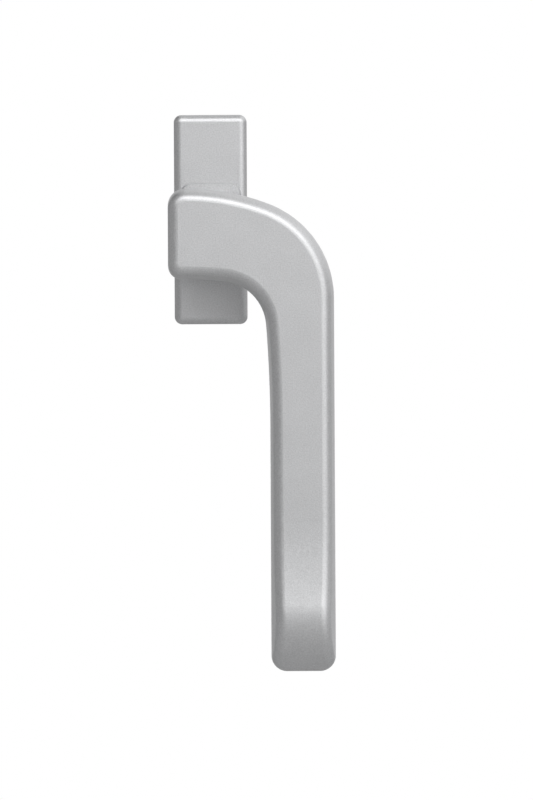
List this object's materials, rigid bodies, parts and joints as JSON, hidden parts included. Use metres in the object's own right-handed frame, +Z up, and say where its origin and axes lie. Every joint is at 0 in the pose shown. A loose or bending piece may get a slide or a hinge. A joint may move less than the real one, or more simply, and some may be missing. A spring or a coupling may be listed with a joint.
{
  "type": "window handle",
  "caption": "Cranked window handle: an offset head on a flared neck sweeps into a long grip with a kicked-out tip; it turns a square spindle on a slim screw-fixed base.",
  "frame": {"origin": "on the spindle axis, in the plane where the base meets the window sash", "axes": "+X right and +Z up as seen from the room, +Y into the sash; the room side is -Y"},
  "size_m": [0.059, 0.0816, 0.1982],
  "materials": {
    "satin_silver": "fine satin, silver anodised",
    "cast_alloy": "as cast, dull",
    "zinc_steel": "bright zinc plated",
    "bright_steel": "plain machined steel",
    "spring_steel": "hardened, oiled",
    "black_steel": "black oxide",
    "bearing_plastic": "natural acetal, matte"
  },
  "bodies": {
    "base": {"cover_cap": "satin_silver", "base_plate": "cast_alloy", "fixing_screw_upper": "zinc_steel", "fixing_screw_lower": "zinc_steel", "lid_plate": "zinc_steel", "lid_screw_upper": "bright_steel", "lid_screw_lower": "bright_steel", "detent_spring_upper": "spring_steel", "detent_spring_lower": "spring_steel", "front_bush": "bearing_plastic", "rear_bush": "bearing_plastic"},
    "lever": {"lever": "satin_silver", "slide_ring": "bearing_plastic", "spindle": "zinc_steel", "grub_screw": "black_steel", "detent_cam": "bright_steel", "circlip": "spring_steel", "thrust_washer": "zinc_steel"}
  },
  "joints": [
    {"name": "lever_turn", "type": "hinge", "parent": "base", "child": "lever", "pos_m": [0, 0, 0], "axis": [0, -1, 0], "range_deg": [0, 180], "deforming": ["detent_spring_upper", "detent_spring_lower"]}
  ]
}
